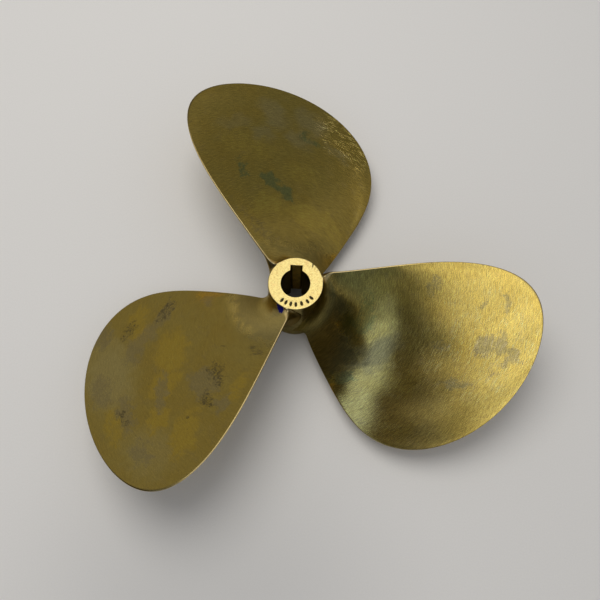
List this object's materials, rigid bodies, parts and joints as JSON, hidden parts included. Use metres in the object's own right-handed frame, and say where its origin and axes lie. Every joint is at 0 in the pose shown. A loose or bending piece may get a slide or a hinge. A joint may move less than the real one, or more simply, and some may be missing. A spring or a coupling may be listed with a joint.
{
  "type": "boat propeller",
  "caption": "Fixed-pitch right-hand boat propeller in cast bronze, with broad swept blades and a short hub bored for a tapered, keyed shaft.",
  "frame": {"origin": "on the shaft axis at the forward face of the hub, the face that it stands on", "axes": "+Z aft along the shaft, towards the shaft nut; +Y through the middle of the keyway"},
  "size_m": [0.3, 0.2974, 0.062],
  "materials": {
    "hub_bronze": "machined end face, cast and ground sides",
    "blade_bronze": "ground, tarnished in patches, bare at the edges"
  },
  "bodies": {
    "root": {"hub": "hub_bronze", "blade_1": "blade_bronze", "blade_2": "blade_bronze", "blade_3": "blade_bronze"}
  },
  "joints": []
}
